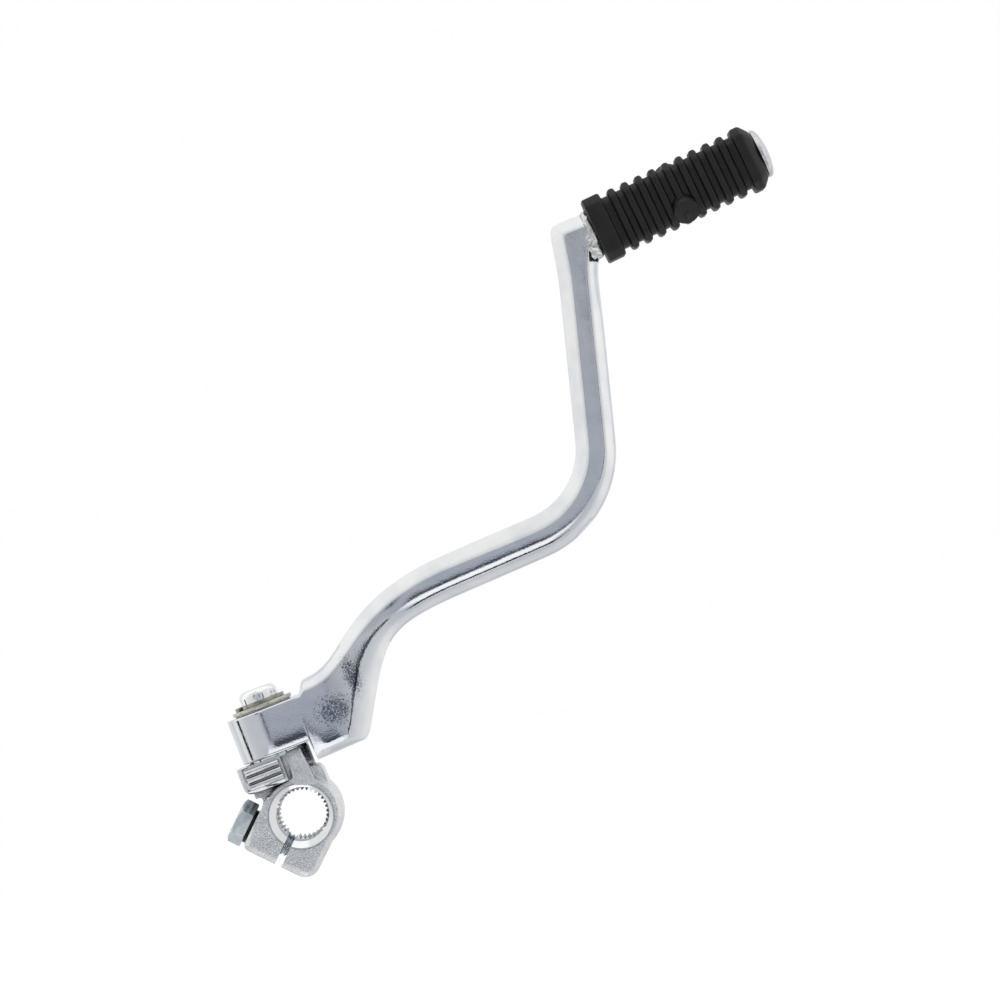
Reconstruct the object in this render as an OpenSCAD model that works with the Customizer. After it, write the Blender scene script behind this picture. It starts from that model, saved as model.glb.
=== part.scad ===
// Folding kick start lever of a small motorcycle, drawn in its stowed position.
// A forged clamp knuckle grips the splined kick shaft. The arm turns on the knuckle's journal,
// and a rubber-covered pedal is welded to the arm's end.
// Origin: middle of the splined bore. Y is the bore's axis, Z the fold axis, X points to the arm.

/* [Kick shaft clamp] */
// Radius of the bore at the tips of its spline teeth
bore_r = 7.5; // [6.8:0.1:8]
// Number of spline grooves around the bore
spline_n = 34; // [28:1:36]
// Depth of one spline groove
spline_depth = 0.9; // [0.5:0.1:1.1]
// Length of the knuckle along the shaft
hub_len = 20; // [18:0.5:24]
// Outer radius of the clamp ring
ring_r = 13.1; // [12.6:0.1:14]
// Angle of the clamp slot from straight down
slot_tilt = 47.3; // [44:0.1:50]
// Width of the clamp slot
slot_w = 2.3; // [1.5:0.1:3]
// Half the width of the clamp lugs across the slot
lug_half = 12.5; // [12:0.1:14]
// Distance from the bore's axis to the end of the lugs
lug_reach = 18.6; // [18:0.1:21]
// Width of the sloping flank that the forging die leaves around the knuckle
draft = 1.8; // [1:0.1:2.2]

// Distance of the seat's gusset from the fold axis, toward the arm
gusset_x = 5.4; // [4:0.1:6.5]
// Thickness of the seat's gusset
gusset_w = 4.2; // [3:0.1:5.4]

/* [Clamp bolt] */
// Nominal radius of the bolt's shank
bolt_r = 3.9; // [3.4:0.1:4]
// Width of the hexagon head across its flats
hex_af = 13; // [12:0.5:14]
// Height of the hexagon head
hex_h = 4.8; // [4:0.1:5.5]
// Thickness of the round collar under the head
collar_h = 1.1; // [0.5:0.1:1.5]
// Radius of the round collar under the head
collar_r = 5.6; // [5:0.1:6]

/* [Fold pivot] */
// Radius of the journal that the arm turns on
journal_r = 6.25; // [5.8:0.05:6.6]
// Height of the journal's top above the bore's axis
journal_top = 42.5; // [42:0.1:46]
// Radius of the rounded edge on the journal's top
journal_round = 2.2; // [0.5:0.1:2.6]
// Radius of the knuckle's seat under the arm's eye
seat_r = 9.4; // [9.1:0.1:9.5]
// Height of that seat above the bore's axis
seat_z = 20.75; // [20:0.05:22]
// Outer radius of the arm's eye
eye_r = 12.4; // [12:0.1:13]
// Height of the arm's eye
eye_h = 14.8; // [13.5:0.1:15.5]
// Angle through which the arm folds out
fold_angle = 90; // [60:1:95]
// Outer radius of the plain washer
washer_r = 9.95; // [9:0.05:10.5]
// Thickness of the plain washer
washer_t = 1.1; // [0.8:0.1:1.5]
// Thickness of the wave washer
wave_t = 0.5; // [0.3:0.1:0.7]
// Outer radius of the wave washer
wave_r = 9.4; // [8.5:0.1:9.8]
// Outer radius of the retaining ring
clip_r = 7.9; // [7.5:0.1:8.4]
// Thickness of the retaining ring
clip_t = 1.2; // [1:0.1:1.5]
// Depth of the groove that holds the retaining ring
groove_depth = 0.85; // [0.5:0.05:1]
// Direction of the retaining ring's gap
clip_gap_dir = 214; // [180:1:250]

/* [Detent] */
// Radius of the detent ball
ball_r = 2.5; // [2:0.1:2.6]
// Distance of the ball from the fold axis
ball_at = 9.3; // [9.1:0.05:9.4]
// Depth to which the ball clicks into the eye
detent_depth = 0.45; // [0.3:0.05:0.6]
// Radius of the detent spring's wire
wire_r = 0.3; // [0.2:0.05:0.35]
// Turns of the detent spring
spring_turns = 6; // [4:1:7]
// Height of the ridged spring housing's top
housing_top = 20.2; // [19.5:0.1:20.3]
// Height of the housing's underside
housing_low = 11.5; // [11:0.1:12.5]
// Number of ridges across the housing's front
ridge_n = 3; // [2:1:4]

/* [Arm] */
// Height of the underside of the arm's skirt above the bore's axis
skirt_z = 14; // [13.9:0.1:16]
// Distance of the skirt from the fold axis
skirt_x = 10.4; // [10.2:0.1:11.5]
// Distance of the skirt's outer corner from the fold axis
skirt_far = 28.2; // [26:0.1:30]
// Half the width of the arm along its middle stretch
mid_half = 6.85; // [6:0.05:7.5]
// Half the width of the arm's rising stretch
rise_half = 6.45; // [6:0.05:7]
// Half the thickness of the arm along the shaft's direction
arm_half_t = 6.5; // [5.5:0.1:7.5]
// Width of the sloping flank along the arm's upper edge
flank_up = 4; // [3:0.1:4.4]
// Width of the sloping flank along the arm's lower edge
flank_low = 2.9; // [2:0.1:3.5]
// Distance of the arm's bend from the fold axis
bend_x = 124.4; // [118:0.1:132]
// Height of the arm's bend above the bore's axis
bend_z = 55.4; // [54:0.1:57]
// Radius of the bend along the arm's middle line
bend_r = 30; // [20:0.5:36]
// Slope of the arm's middle stretch
mid_slope = 2.1; // [0:0.1:4]
// Slope of the arm's rising stretch
rise_slope = 74.6; // [70:0.1:80]

/* [Pedal] */
// Distance of the rubber's middle from the fold axis
pedal_x = 183.3; // [178:0.1:192]
// Height of the rubber's middle above the bore's axis
pedal_z = 141.1; // [130:0.1:150]
// Slope of the pedal
pedal_slope = 4.2; // [0:0.1:10]
// Radius of the pedal's steel pin
pin_r = 6; // [5:0.1:6.4]
// Depth to which the pin enters the arm's end
pin_socket = 6; // [4:0.5:7]
// Radius of the pin's flat head
head_r = 8.15; // [7.5:0.05:9]
// Height of the pin's domed head
head_h = 3.2; // [2.5:0.1:4]
// Thickness of the domed head at its rim
head_rim = 0.9; // [0.5:0.1:1.5]
// Length of the rubber
rubber_len = 58; // [50:1:66]
// Half the width of the rubber across its end flanges
flange_half = 10.8; // [10.5:0.1:12]
// Length of one end flange
flange_len = 6; // [4:0.5:8]
// Rounding of the free end of the rubber
flange_round = 3; // [1:0.1:4]
// Half the width of the rubber across its ribs
rib_half = 10.35; // [9.8:0.05:10.5]
// Half the width of the rubber between its ribs
core_half = 8.8; // [8:0.1:9.2]
// Number of ribs between the flanges
rib_n = 9; // [7:1:10]
// Thickness of one rib
rib_w = 2.5; // [2:0.1:2.8]
// Radius of the two round pads on the rubber
pad_r = 4.4; // [3.5:0.1:5]

/* [Hidden] */
$fn = 96;
// Running clearance of round fits, axial play of the pivot, and a cut's overshoot
run = 0.05;
play = 0.05;
over = 1;
// Clamp: the bolt passes clear of the shaft
hub_half = hub_len / 2;
bolt_clear = bolt_r + run;
bolt_drop = bore_r + bolt_clear + 0.15;
lug_top = 2;
land_r = min(ring_r - draft - 1, bore_r + 2.7);
face_proud = 0.3;
mouth_chamfer = 1.2;
// Fold pivot, from the seat upward
eye_low = seat_z + play;
eye_top = eye_low + eye_h;
wave_z = eye_top + play;
washer_z = wave_z + wave_t;
clip_z = washer_z + washer_t + play;
groove_r = journal_r - groove_depth;
groove_play = 0.05;
stop_h = 1.8;
stop_half = 30;
stop_play = 0.3;
// Detent: the ball rides just under the eye and rises into the two pockets
ball_z = eye_low - play - ball_r;
spring_floor = ball_z - 9;
coil_r = ball_r - wire_r - 0.2;
spring_low = spring_floor + wire_r;
spring_high = ball_z - sqrt(pow(ball_r + wire_r, 2) - pow(coil_r, 2));
housing_left = ball_at + ball_r + 2.9;
housing_right = 0.2;
housing_front = hub_half + 1.2;
housing_back = ball_r + 2.5;
ridge_r = 0.95;
// Pedal frame: its own x runs along the pin, from the rubber's middle
rubber_half = rubber_len / 2;
stub_half = pin_r + 1.2;
weld_gap = 1.9;
stub_end = -(rubber_half + 0.3 + weld_gap);
corner_cut = 2.8;
rib_pitch = (rubber_len - 2 * flange_len + 1.8) / (rib_n + 1);

// Plane geometry of the arm, in X and Z
function dir(a) = [cos(a), sin(a)];
function meet(p, a, q, b) = p + dir(a) * cross(q - p, dir(b)) / cross(dir(a), dir(b));
function mix(a, b, t) = a + (b - a) * t;
function bezier(p, t) = pow(1 - t, 3) * p[0] + 3 * pow(1 - t, 2) * t * p[1]
                      + 3 * (1 - t) * t * t * p[2] + pow(t, 3) * p[3];
function ease(t) = t * t * (3 - 2 * t);
function clip01(t) = min(1, max(0, t));

bend = [bend_x, bend_z];
pedal = [pedal_x, pedal_z];
mitre = meet(bend, rise_slope, pedal, pedal_slope);
bend_turn = rise_slope - mid_slope;
bend_tangent = bend_r * tan(bend_turn / 2);
bend_start = bend - dir(mid_slope) * bend_tangent;
bend_centre = bend_start + dir(mid_slope + 90) * bend_r;
// The S-shaped web between the eye and the middle stretch: two edges, each a smooth curve
web_end = bend - dir(mid_slope) * 54;
web_up_end = web_end + dir(mid_slope + 90) * mid_half;
web_low_end = web_end - dir(mid_slope + 90) * mid_half;
web_up_start = [eye_r + 2.9, eye_top + 4.1];
skirt_corner = [skirt_far, skirt_z + 0.7];
web_up = [web_up_start, web_up_start + [15.7, 0], web_up_end - dir(3.5) * 38, web_up_end];
web_low = [skirt_corner, skirt_corner + dir(59) * 31.2, web_low_end - dir(2.9) * 27.2, web_low_end];
web_n = 20;
skirt_share = 0.2;

// One cross-section: [upper edge, lower edge, half thickness, half thickness at the edges]
function section(up, low, t, e) = [up, low, t, e];
function beam(c, a, half, t) = section(c + dir(a + 90) * half, c - dir(a + 90) * half, t, t * 0.35);
function web_low_at(t) = t < skirt_share
    ? mix([skirt_x + 5.5, skirt_z + 0.2], skirt_corner, t / skirt_share)
    : bezier(web_low, (t - skirt_share) / (1 - skirt_share));
function web_t(t) = mix(eye_r - 0.2, arm_half_t, ease(clip01(t / 0.8)));
function bend_at(k) = bend_centre + dir(mid_slope - 90 + bend_turn * k) * bend_r;

root_sections = [
    section([skirt_x, eye_top], [skirt_x + 0.7, skirt_z], eye_r - 0.1, eye_r - 2.5),
    section([eye_r + 0.8, eye_top + 1], [skirt_x + 3, skirt_z + 0.1], eye_r - 0.15, eye_r - 3)
];
web_sections = [for (i = [0 : web_n]) let (t = i / web_n)
    section(bezier(web_up, t), web_low_at(t), web_t(t), max(web_t(t) - 4.2, web_t(t) * 0.35))];
bend_sections = [for (k = [0 : 1 / 14 : 1.001])
    beam(bend_at(k), mid_slope + bend_turn * k, mix(mid_half, rise_half, k), arm_half_t)];
mitre_half = stub_half / cos((rise_slope - pedal_slope) / 2);
end_sections = [
    beam(mitre - dir(rise_slope) * 12, rise_slope, rise_half, arm_half_t),
    beam(mitre, (rise_slope + pedal_slope) / 2, mitre_half, arm_half_t),
    beam(pedal + dir(pedal_slope) * stub_end, pedal_slope, stub_half, arm_half_t)
];
arm_sections = concat(root_sections, web_sections, bend_sections, end_sections);

// Eight corners of a section: flat front and back, sloping flanks, narrow edges
function corners(s) = let (
    up = s[0], low = s[1], t = s[2], e = s[3], w = norm(up - low),
    fu = mix(up, low, min(0.3, flank_up / w)), fl = mix(low, up, min(0.25, flank_low / w)))
    [[low[0], -e, low[1]], [fl[0], -t, fl[1]], [fu[0], -t, fu[1]], [up[0], -e, up[1]],
     [up[0], e, up[1]], [fu[0], t, fu[1]], [fl[0], t, fl[1]], [low[0], e, low[1]]];

// Skin through a list of sections, each with the same number of corners
module skin(rings) {
    m = len(rings[0]);
    n = len(rings);
    points = [for (r = rings) for (p = r) p];
    sides = [for (i = [0 : n - 2]) for (j = [0 : m - 1]) let (
        a = i * m + j, b = i * m + (j + 1) % m, c = a + m, d = b + m)
        each [[a, b, c], [b, d, c]]];
    caps = [[for (j = [m - 1 : -1 : 0]) j], [for (j = [0 : m - 1]) (n - 1) * m + j]];
    polyhedron(points, concat(sides, caps), convexity = 6);
}

// Frames: children are drawn in the clamp's or the pedal's own axes
module in_clamp() rotate([0, slot_tilt, 0]) children();
module on_pedal() translate([pedal_x, 0, pedal_z]) rotate([0, -pedal_slope, 0]) children();
// Extrusions of an outline along Y, along X and from the fold axis
module along_y(length) rotate([90, 0, 0]) linear_extrude(height = length, center = true) children();
module along_x(length) rotate([90, 0, 90]) linear_extrude(height = length, center = true) children();
module arc_sweep(from, to) rotate([0, 0, from]) rotate_extrude(angle = to - from) children();
module cyl_y(r, length) rotate([90, 0, 0]) cylinder(r = r, h = length, center = true);
module cyl_x(r, from, to) translate([from, 0, 0]) rotate([0, 90, 0]) cylinder(r = r, h = to - from);

// Clamp ring with die-drafted rims, steeper than the lugs', and a machined land on each face
module clamp_ring() {
    rim = hub_half - draft * 1.25;
    rotate([90, 0, 0])
        rotate_extrude()
            polygon([[0, -hub_half], [ring_r - draft, -hub_half], [ring_r, -rim],
                     [ring_r, rim], [ring_r - draft, hub_half], [0, hub_half]]);
    cyl_y(land_r, hub_len + 2 * face_proud);
}

// Both clamp lugs as one drafted block, before the slot splits them
module lug_block() {
    round_r = 5;
    in_clamp() intersection() {
        along_y(hub_len) union() {
            polygon([[-lug_half, -lug_top], [-lug_half, 2.6 - lug_reach],
                     [1.9 - lug_half, -lug_reach], [lug_half - round_r, -lug_reach],
                     [lug_half, round_r - lug_reach], [lug_half, 0], [0, 4]]);
            translate([lug_half - round_r, round_r - lug_reach])
                circle(r = round_r);
        }
        along_x(3 * lug_half)
            polygon([[-hub_half, lug_half], [-hub_half, draft - lug_reach],
                     [draft - hub_half, -lug_reach], [hub_half - draft, -lug_reach],
                     [hub_half, draft - lug_reach], [hub_half, lug_half]]);
        translate([0, 0, -lug_reach / 2]) linear_extrude(height = 2 * lug_reach, center = true)
            polygon([[-lug_half, -hub_half], [lug_half - draft, -hub_half],
                     [lug_half, draft - hub_half], [lug_half, hub_half - draft],
                     [lug_half - draft, hub_half], [-lug_half, hub_half]]);
    }
}

// Neck between the ring and the seat, with the shoulder on the arm's side
module neck() {
    top = skirt_z - 0.8;
    along_y(hub_len - 3)
        polygon([[-10.2, 7.6], [-9.6, 10], [-10.6, top], [9, top], [11.3, 10.4], [11.3, 5], [0, 0]]);
    cylinder(r = seat_r, h = seat_z);
}

// Gusset that braces the front of the seat
module gusset() {
    foot = hub_half + 0.4;
    top = seat_z - 0.5;
    translate([gusset_x, 0, 0]) along_x(gusset_w)
        polygon([[-foot, 9], [-foot, housing_low], [-seat_r + 0.2, top], [0, top], [0, 9]]);
}

// Ridged housing for the detent ball and its spring
module housing() {
    bevel = 1.3;
    corner_r = 2.4;
    height = housing_top - housing_low;
    ridge_pitch = (height - 1.6) / ridge_n;
    intersection() {
        translate([0, 0, housing_low]) linear_extrude(height = height)
            polygon([[-housing_left, housing_back], [-housing_left, 2 * bevel - housing_front],
                     [bevel - housing_left, -housing_front], [-housing_right, -housing_front],
                     [-housing_right, housing_back]]);
        along_y(4 * hub_half) union() {
            polygon([[-housing_left, housing_low + corner_r], [-housing_left, housing_top],
                     [0, housing_top], [0, housing_low], [corner_r - housing_left, housing_low]]);
            translate([corner_r - housing_left, housing_low + corner_r])
                circle(r = corner_r);
        }
    }
    for (i = [0 : ridge_n - 1])
        translate([0, -housing_front, housing_low + 0.8 + ridge_pitch * (i + 0.5)])
            cyl_x(ridge_r, 2 * bevel - housing_left, -housing_right - 0.6);
    // Root of the housing on the ring
    translate([-housing_left + corner_r, -hub_half + 1.5, housing_low - 2])
        cube([housing_left - corner_r, hub_half + housing_back - 1.5, 2.2]);
}

// Journal with its rounded top and the groove for the retaining ring
module journal() {
    r = min(journal_round, journal_r - 1);
    low = clip_z - groove_play;
    high = clip_z + clip_t + groove_play;
    rotate_extrude()
        polygon(concat(
            [[0, seat_z - 2], [journal_r, seat_z - 2], [journal_r, low], [groove_r, low],
             [groove_r, high], [journal_r, high]],
            [for (a = [0 : 15 : 90]) [journal_r - r + r * cos(a), journal_top - r + r * sin(a)]],
            [[0, journal_top]]));
}

// Stop that meets the ends of the pocket in the eye
module stop_tongue() {
    arc_sweep(-stop_half, stop_half) translate([journal_r - 0.5, seat_z - 1])
        square([seat_r - journal_r + 0.5 - run, stop_h + 1]);
}

// Splined bore with its chamfered mouths
module spline_cut() {
    mouth_r = bore_r + mouth_chamfer;
    face = hub_half + face_proud;
    pitch = 2 * PI * bore_r / spline_n;
    cyl_y(bore_r, hub_len + 4);
    for (i = [0 : spline_n - 1])
        rotate([0, i * 360 / spline_n, 0]) along_y(hub_len + 4)
            polygon([[bore_r - 0.4, -pitch * 0.32], [bore_r + spline_depth, -pitch * 0.14],
                     [bore_r + spline_depth, pitch * 0.14], [bore_r - 0.4, pitch * 0.32]]);
    // Each mouth is a 45 degree cone, begun a little inside the bore
    for (side = [0, 180])
        rotate([90, 0, side]) translate([0, 0, face - mouth_chamfer - 0.5])
            cylinder(r1 = bore_r - 0.5, r2 = mouth_r + 0.5, h = mouth_chamfer + 1);
}

// Forged knuckle: clamp, neck, seat and journal in one piece
module clamp_knuckle() color("silver") difference() {
    union() {
        clamp_ring();
        lug_block();
        neck();
        gusset();
        housing();
        journal();
        stop_tongue();
    }
    spline_cut();
    in_clamp() translate([-slot_w / 2 + 0.2, -hub_len, -lug_reach - over])
        cube([slot_w, 2 * hub_len, lug_reach + over - bore_r / 2]);
    in_clamp() translate([0, 0, -bolt_drop])
        cyl_x(bolt_clear, -lug_half - over, lug_half + over);
    translate([-ball_at, 0, spring_floor])
        cylinder(r = ball_r + run, h = housing_top - spring_floor + over);
}

// Hexagon bolt that draws the two lugs together
module clamp_bolt() color("lightslategray") in_clamp() translate([0, 0, -bolt_drop]) {
    tip_chamfer = 0.8;
    head_x = -lug_half - collar_h;
    translate([head_x - hex_h, 0, 0]) rotate([0, 90, 0]) rotate([0, 0, 0])
        cylinder(r = hex_af / sqrt(3), h = hex_h, $fn = 6);
    cyl_x(collar_r, head_x, -lug_half);
    cyl_x(bolt_r, head_x, lug_half - tip_chamfer);
    translate([lug_half - tip_chamfer, 0, 0]) rotate([0, 90, 0])
        cylinder(r1 = bolt_r, r2 = bolt_r - tip_chamfer, h = tip_chamfer);
}

// Forged arm: eye, skirt, S-shaped web, bend and the short stub for the pedal pin
module kick_arm() color("gainsboro") difference() {
    union() {
        skin([for (s = arm_sections) corners(s)]);
        translate([0, 0, eye_low]) cylinder(r = eye_r, h = eye_h);
        translate([0, -eye_r + 0.1, eye_low]) cube([eye_r + 0.4, 2 * eye_r - 0.2, eye_h]);
    }
    translate([0, 0, seat_z - over]) cylinder(r = journal_r + run, h = eye_h + 2 * over);
    // Pocket for the stop, long enough for the whole fold
    arc_sweep(-stop_half - fold_angle - stop_play, stop_half + stop_play)
        translate([journal_r - 0.2, seat_z - over])
            square([seat_r - journal_r + 0.2 + run, stop_h + over + play]);
    // Pockets for the detent ball, stowed and folded out
    for (a = [180, 180 - fold_angle])
        rotate([0, 0, a]) translate([ball_at, 0, ball_z + detent_depth])
            sphere(r = ball_r + run);
    on_pedal() cyl_x(pin_r + run, stub_end - pin_socket, stub_end + over);
}

// Wave washer that takes up the play of the eye
module pivot_wave_washer() color("darkgray") difference() {
    translate([0, 0, wave_z]) cylinder(r = wave_r, h = wave_t);
    translate([0, 0, wave_z - over]) cylinder(r = journal_r + 2 * run, h = wave_t + 2 * over);
}

// Plain washer under the retaining ring
module pivot_washer() color("lightgray") difference() {
    translate([0, 0, washer_z]) cylinder(r = washer_r, h = washer_t);
    translate([0, 0, washer_z - over]) cylinder(r = journal_r + 2 * run, h = washer_t + 2 * over);
}

// Retaining ring with two eyelets for the pliers
module pivot_circlip() color("gray") {
    gap_half = 9;
    ear_r = 1.35;
    ear_hole_r = 0.65;
    inner = groove_r + run;
    ear_turn = gap_half + asin(ear_r / (clip_r - 0.8));
    difference() {
        union() {
            arc_sweep(clip_gap_dir + gap_half, clip_gap_dir + 360 - gap_half)
                translate([inner, clip_z]) square([clip_r - inner, clip_t]);
            for (a = [-ear_turn, ear_turn])
                rotate([0, 0, clip_gap_dir + a]) translate([clip_r - 0.5, 0, clip_z])
                    cylinder(r = ear_r, h = clip_t);
        }
        for (a = [-ear_turn, ear_turn])
            rotate([0, 0, clip_gap_dir + a]) translate([clip_r - 0.5, 0, clip_z - over])
                cylinder(r = ear_hole_r, h = clip_t + 2 * over);
    }
}

// Detent ball, at the height at which it rides under the eye
module detent_ball() color("slategray") translate([-ball_at, 0, ball_z]) sphere(r = ball_r);

// Compression spring under the ball
module detent_spring() color("dimgray") translate([-ball_at, 0, 0]) {
    steps = spring_turns * 16;
    rise = (spring_high - spring_low) / steps;
    skin([for (i = [0 : steps]) let (a = i * 22.5, z = spring_low + i * rise)
        [for (k = [5 : -1 : 0]) let (r = coil_r + wire_r * cos(k * 60))
            [r * cos(a), r * sin(a), z + wire_r * sin(k * 60)]]]);
}

// Steel pin that carries the rubber, with a domed head at its free end
module pedal_pin() color("silver") on_pedal() {
    cyl_x(pin_r, stub_end - pin_socket + 0.3, rubber_half);
    translate([rubber_half, 0, 0]) rotate([0, 90, 0]) rotate_extrude()
        polygon(concat([[0, 0], [head_r, 0]],
            [for (a = [0 : 12 : 84]) [head_r * cos(a), head_rim + (head_h - head_rim) * sin(a)]],
            [[0, head_h]]));
}

// Weld bead between the pin and the arm's stub
module pedal_weld() color("darkgray") on_pedal() difference() {
    rotate([0, 90, 0]) rotate_extrude()
        polygon([[pin_r + run, stub_end], [stub_half - 0.1, stub_end],
                 [stub_half + 0.3, stub_end + 0.5], [stub_half + 0.2, stub_end + 1.2],
                 [stub_half - 0.5, stub_end + weld_gap], [pin_r + run, stub_end + weld_gap]]);
}

// Outline of the rubber: a square with cut corners
function sleeve(half, cut) = let (c = half - cut)
    [[-c, -half], [-half, -c], [-half, c], [-c, half], [c, half], [half, c], [half, -c], [c, -half]];
// One slice of the rubber, thick along the pedal
module rubber_slice(half, x, thick) translate([x, 0, 0]) along_x(thick) polygon(sleeve(half, corner_cut));
// Free end of the rubber, drawn in around the pin's head
module rubber_end() {
    from = rubber_half - flange_len;
    skin([for (s = [[from, 0], [rubber_half - flange_round, 0], [rubber_half - 0.7, 0.8 * flange_round],
                    [rubber_half, 1.3 * flange_round]])
        [for (p = sleeve(flange_half - s[1], corner_cut)) [s[0], p[0], p[1]]]]);
}

// Moulded rubber sleeve with end flanges, ribs and two round pads
module pedal_rubber() color([0.12, 0.12, 0.13]) on_pedal() difference() {
    union() {
        rubber_slice(core_half, 1 - flange_len / 2, rubber_len - flange_len + 1);
        rubber_slice(flange_half, flange_len / 2 - rubber_half, flange_len);
        rubber_end();
        for (i = [0 : rib_n - 1])
            rubber_slice(rib_half, (i - (rib_n - 1) / 2) * rib_pitch, rib_w);
        for (side = [0, 180])
            rotate([126 + side, 0, 0]) cylinder(r = pad_r, h = rib_half + 1.9);
    }
    cyl_x(pin_r + run, -rubber_half - over, rubber_half + over);
}

clamp_knuckle();
clamp_bolt();
kick_arm();
pivot_wave_washer();
pivot_washer();
pivot_circlip();
detent_ball();
detent_spring();
pedal_pin();
pedal_weld();
pedal_rubber();
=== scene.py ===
import math

import bmesh
import bpy
from mathutils import Matrix, Vector


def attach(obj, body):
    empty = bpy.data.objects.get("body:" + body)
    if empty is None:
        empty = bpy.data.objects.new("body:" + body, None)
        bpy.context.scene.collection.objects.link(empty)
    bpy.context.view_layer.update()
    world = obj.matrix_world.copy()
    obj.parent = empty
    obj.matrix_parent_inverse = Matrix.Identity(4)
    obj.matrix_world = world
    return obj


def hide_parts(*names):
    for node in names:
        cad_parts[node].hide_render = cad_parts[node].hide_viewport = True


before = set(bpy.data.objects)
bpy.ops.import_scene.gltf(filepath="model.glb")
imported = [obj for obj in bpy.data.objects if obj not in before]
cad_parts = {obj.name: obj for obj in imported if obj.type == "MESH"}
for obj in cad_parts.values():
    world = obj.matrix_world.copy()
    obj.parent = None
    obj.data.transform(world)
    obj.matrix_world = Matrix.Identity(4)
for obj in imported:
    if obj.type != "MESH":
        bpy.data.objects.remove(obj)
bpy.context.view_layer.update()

MM = 0.001

# The studio
# The lever was photographed from one side with a long lens, turned a little in the picture,
# against plain white. The chrome mirrors white panels above, below and beside it, a black
# card between two of them, and the grey room behind the photographer.

PICTURE_TURN = math.radians(21.3)
CAMERA_DISTANCE = 1.78
PICTURE_CENTRE = Vector((94.9, 0, 70.2)) * MM
FLOOR_Z = -120 * MM

bpy.ops.object.select_all(action="DESELECT")
bpy.ops.object.camera_add(location=PICTURE_CENTRE - Vector((0, CAMERA_DISTANCE, 0)),
                          rotation=(math.radians(90), PICTURE_TURN, 0))
camera = bpy.context.object
camera.name = "studio_camera"
camera.data.lens = 200
camera.data.sensor_width = 36
bpy.context.scene.camera = camera
bpy.context.scene.view_settings.view_transform = "Standard"


def colour(hex_value):
    """An sRGB hex colour as linear values."""
    parts = [int(hex_value[i:i + 2], 16) / 255 for i in (1, 3, 5)]
    return tuple(c / 12.92 if c <= 0.04045 else ((c + 0.055) / 1.055) ** 2.4 for c in parts) + (1.0,)


def add_node(tree, kind, inputs=None, **settings):
    """Adds a shader node, sets its properties, and fills or links its inputs.

    A node given as an input stands for its first output.
    """
    node = tree.nodes.new("ShaderNode" + kind)
    stops = settings.pop("stops", None)
    for name, value in settings.items():
        setattr(node, name, value)
    for name, value in (inputs or {}).items():
        if isinstance(value, bpy.types.Node):
            value = value.outputs[0]
        if isinstance(value, bpy.types.NodeSocket):
            tree.links.new(value, node.inputs[name])
        else:
            node.inputs[name].default_value = value
    if stops:
        elements = node.color_ramp.elements
        while len(elements) < len(stops):
            elements.new(0.5)
        for element, (position, hex_value) in zip(elements, stops):
            element.position = position
            element.color = colour(hex_value)
    return node


world = bpy.data.worlds.new("studio")
bpy.context.scene.world = world
world.use_nodes = True
tree = world.node_tree
tree.nodes.clear()
direction = add_node(tree, "TexCoord").outputs["Generated"]
# The picture's own right and up, and the way away from the photographer
turned_way = add_node(tree, "VectorRotate",
                      {"Vector": direction, "Axis": (0, 1, 0), "Angle": -PICTURE_TURN},
                      rotation_type="AXIS_ANGLE")
way = add_node(tree, "SeparateXYZ", {"Vector": turned_way})
height = add_node(tree, "Math", {0: way.outputs["Z"], 1: 0.5, 2: 0.5}, operation="MULTIPLY_ADD")
front = add_node(tree, "ValToRGB", {"Fac": height}, stops=[
    (0.0, "#FFFFFF"), (0.25, "#FFFFFF"), (0.36, "#FFFFFF"), (0.43, "#9CA2AC"), (0.48, "#A8ADB5"),
    (0.53, "#ABAEB3"), (0.72, "#AEB1B6"), (0.86, "#E4E5E4"), (1.0, "#FFFFFF")])
front.color_ramp.interpolation = "EASE"
# A long black card lies low in front, under the white panel
card = add_node(tree, "ValToRGB", {"Fac": height}, stops=[
    (0.135, "#000000"), (0.155, "#FFFFFF"), (0.205, "#FFFFFF"), (0.23, "#000000")])
in_front = add_node(tree, "MapRange", {"Value": way.outputs["Y"], "From Min": 0.02, "From Max": -0.06})
card = add_node(tree, "Math", {0: card, 1: in_front}, operation="MULTIPLY")
aside = add_node(tree, "Math", {0: way.outputs["X"]}, operation="ABSOLUTE")
short = add_node(tree, "MapRange", {"Value": aside, "From Min": 0.50, "From Max": 0.40})
card = add_node(tree, "Math", {0: card, 1: short}, operation="MULTIPLY")
# The dark camera under the middle and the photographer beside it
for x, z, half_x, half_z in (
        (0.02, -0.17, 0.15, 0.09), (0.075, 0.105, 0.075, 0.055), (-0.17, -0.09, 0.035, 0.06)):
    off = add_node(tree, "VectorMath", {
        0: turned_way, 1: (1 / half_x, 0.0, 1 / half_z), 2: (-x / half_x, 0.0, -z / half_z)},
        operation="MULTIPLY_ADD")
    off = add_node(tree, "VectorMath", {0: off}, operation="LENGTH").outputs["Value"]
    dark = add_node(tree, "MapRange", {
        "Value": off, "From Min": 0.5, "From Max": 1.15, "To Min": 0.93, "To Max": 0.0},
        interpolation_type="SMOOTHSTEP")
    front = add_node(tree, "MixRGB", {"Fac": dark, "Color1": front, "Color2": colour("#161E2B")})
beside = add_node(tree, "ValToRGB", {"Fac": aside}, stops=[
    (0.0, "#000000"), (0.24, "#080808"), (0.35, "#FFFFFF"), (1.0, "#FFFFFF")])
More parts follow.
